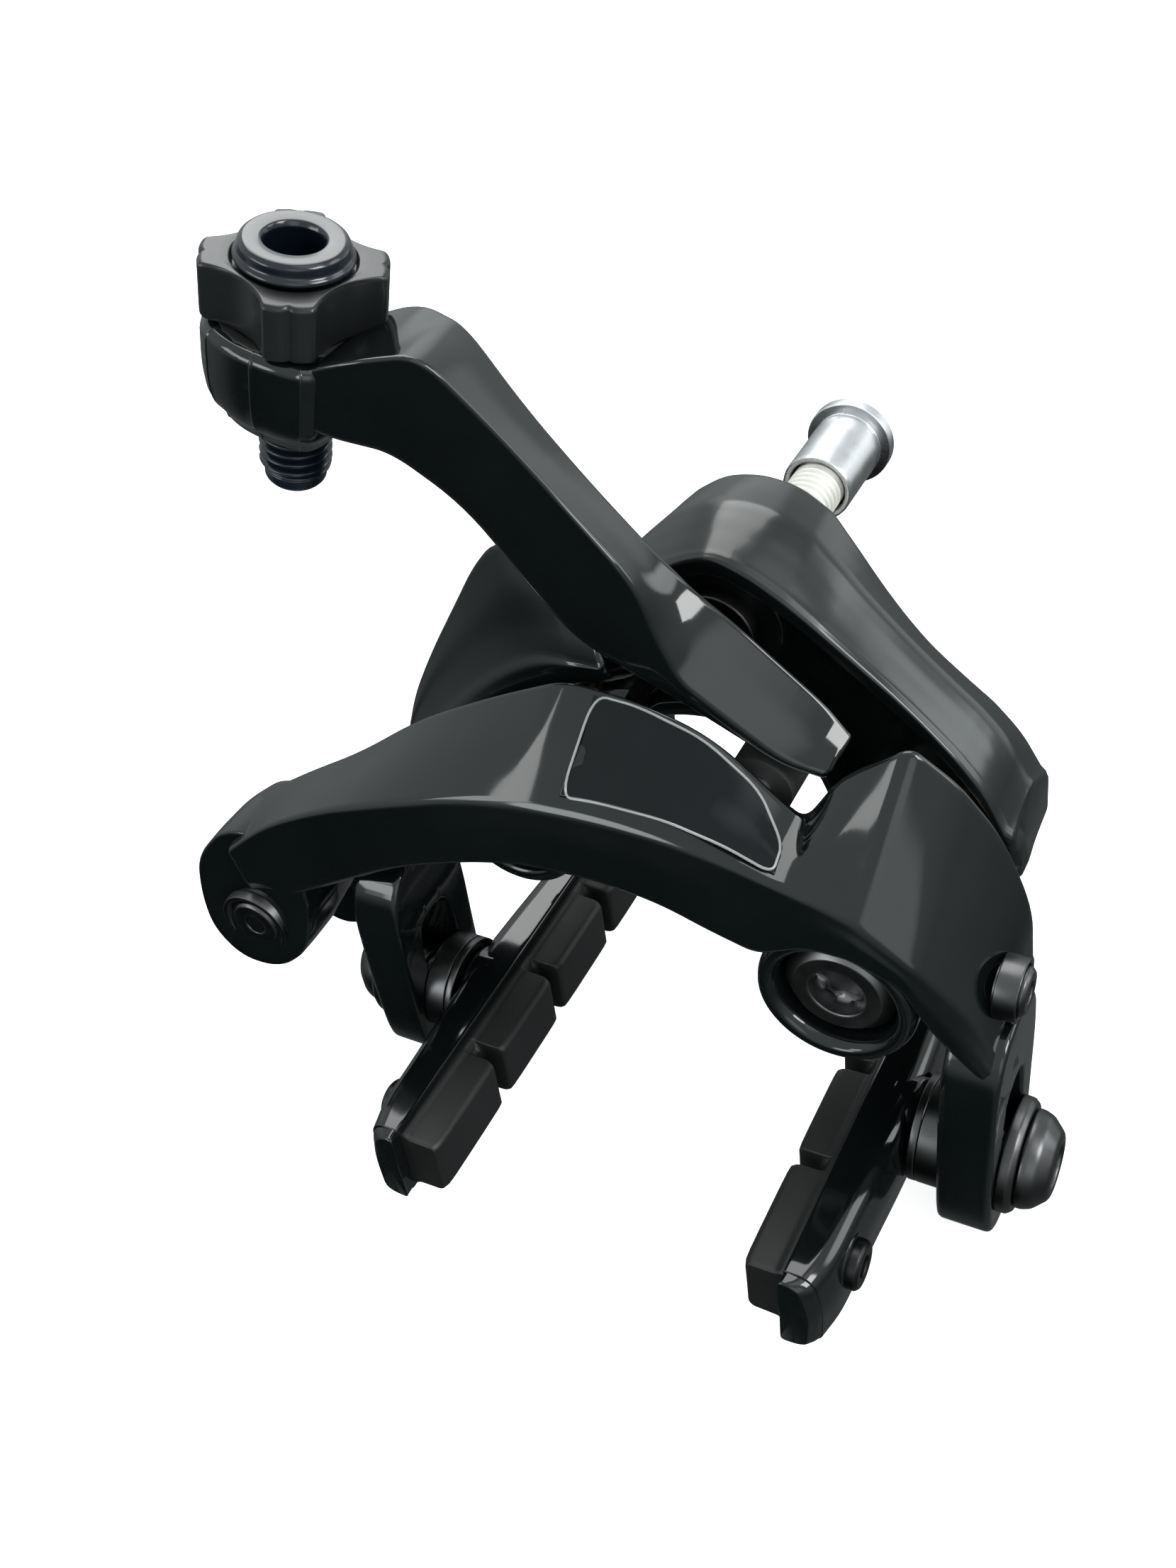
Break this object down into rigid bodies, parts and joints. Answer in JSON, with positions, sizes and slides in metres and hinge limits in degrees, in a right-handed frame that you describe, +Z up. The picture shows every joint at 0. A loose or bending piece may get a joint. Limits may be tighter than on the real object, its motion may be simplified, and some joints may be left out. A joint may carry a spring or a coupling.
{
  "type": "rim brake caliper",
  "caption": "Symmetric dual-pivot road rim brake caliper with slotted arms, cartridge pads, barrel adjuster, cable clamp and recessed mounting nut.",
  "frame": {"origin": "on the centre bolt axis, at the rear face of the bracket that seats on the fork", "axes": "+X to the right seen from the front, +Y backwards to the fork, +Z up"},
  "size_m": [0.0996, 0.0817, 0.1005],
  "materials": {
    "black_alloy": "gloss black anodised aluminium with fine brushed streaks",
    "bolt_steel": "zinc plated steel",
    "gun_steel": "dark gunmetal steel, turned",
    "black_steel": "black oxide steel",
    "bronze": "plain bearing bronze",
    "spring_steel": "drawn wire",
    "dark_knob": "satin black anodised aluminium",
    "blue_collar": "dark bluish anodised aluminium",
    "black_plastic": "matte black nylon",
    "pad_rubber": "matte black brake rubber",
    "roller_steel": "dark rough acetal"
  },
  "bodies": {
    "mount": {"bracket": "black_alloy", "centre_bolt": "bolt_steel", "serrated_washer": "bolt_steel", "recessed_nut": "bolt_steel", "right_pivot_bolt": "gun_steel", "left_pivot_bolt": "gun_steel", "right_thrust_washer": "bronze", "left_thrust_washer": "bronze", "right_return_spring": "spring_steel", "left_return_spring": "spring_steel"},
    "c_arm_body": {"c_arm": "black_alloy", "right_bush": "bronze", "roller_pin": "bolt_steel", "cable_bolt": "black_steel", "cable_plate": "bolt_steel"},
    "roller_body": {"roller": "roller_steel"},
    "centring_body": {"centring_screw": "gun_steel"},
    "release_body": {"quick_release_lever": "black_alloy"},
    "y_arm_body": {"y_arm": "black_alloy", "left_bush": "bronze", "adjuster_detent": "black_plastic"},
    "adjuster_body": {"adjuster_bolt": "blue_collar"},
    "knob_body": {"adjuster_knob": "dark_knob"},
    "right_shoe": {"right_shoe_holder": "black_alloy", "right_pad": "pad_rubber", "right_pad_screw": "black_steel", "right_shoe_bolt": "gun_steel", "right_convex_washer": "bolt_steel", "right_concave_washer": "bolt_steel", "right_outer_washer": "gun_steel"},
    "left_shoe": {"left_shoe_holder": "black_alloy", "left_pad": "pad_rubber", "left_pad_screw": "black_steel", "left_shoe_bolt": "gun_steel", "left_convex_washer": "bolt_steel", "left_concave_washer": "bolt_steel", "left_outer_washer": "gun_steel"}
  },
  "joints": [
    {"name": "c_arm_pivot", "type": "hinge", "parent": "mount", "child": "c_arm_body", "pos_m": [0.0205, -0.02, -0.0234], "axis": [0, 1, 0], "range_deg": [0, 15], "stiffness_Nm_per_rad": 0.6, "springref_deg": -20.05},
    {"name": "y_arm_pivot", "type": "hinge", "parent": "mount", "child": "y_arm_body", "pos_m": [-0.0205, -0.02, -0.0234], "axis": [0, -1, 0], "range_deg": [0, 15], "stiffness_Nm_per_rad": 0.6, "springref_deg": -20.05},
    {"name": "roller_spin", "type": "hinge", "parent": "c_arm_body", "child": "roller_body", "pos_m": [0.009, -0.02, -0.0088], "axis": [0, 1, 0], "continuous": true},
    {"name": "centring_turn", "type": "hinge", "parent": "c_arm_body", "child": "centring_body", "pos_m": [0.034, -0.0295, -0.0226], "axis": [1, 0, 0], "continuous": true},
    {"name": "quick_release", "type": "hinge", "parent": "c_arm_body", "child": "release_body", "pos_m": [-0.0495, -0.027, -0.0355], "axis": [0, 1, 0], "range_deg": [0, 80]},
    {"name": "knob_turn", "type": "hinge", "parent": "y_arm_body", "child": "knob_body", "pos_m": [-0.03259, -0.026, 0.03847], "axis": [0.2588, 0, 0.9659], "range_deg": [0, 1441]},
    {"name": "adjuster_travel", "type": "slide", "parent": "y_arm_body", "child": "adjuster_body", "axis": [0.2588, 0, 0.9659], "range_m": [0, 0.004]},
    {"name": "right_shoe_slide", "type": "slide", "parent": "c_arm_body", "child": "right_shoe", "axis": [0, 0, 1], "range_m": [-0.0016, 0.0075]},
    {"name": "left_shoe_slide", "type": "slide", "parent": "y_arm_body", "child": "left_shoe", "axis": [0, 0, 1], "range_m": [-0.0016, 0.0075]}
  ],
  "couplings": [
    {"joint": "y_arm_pivot", "follows": "c_arm_pivot", "ratio": 1},
    {"joint": "knob_turn", "follows": "adjuster_travel", "rad_per_m": 6283.2}
  ]
}
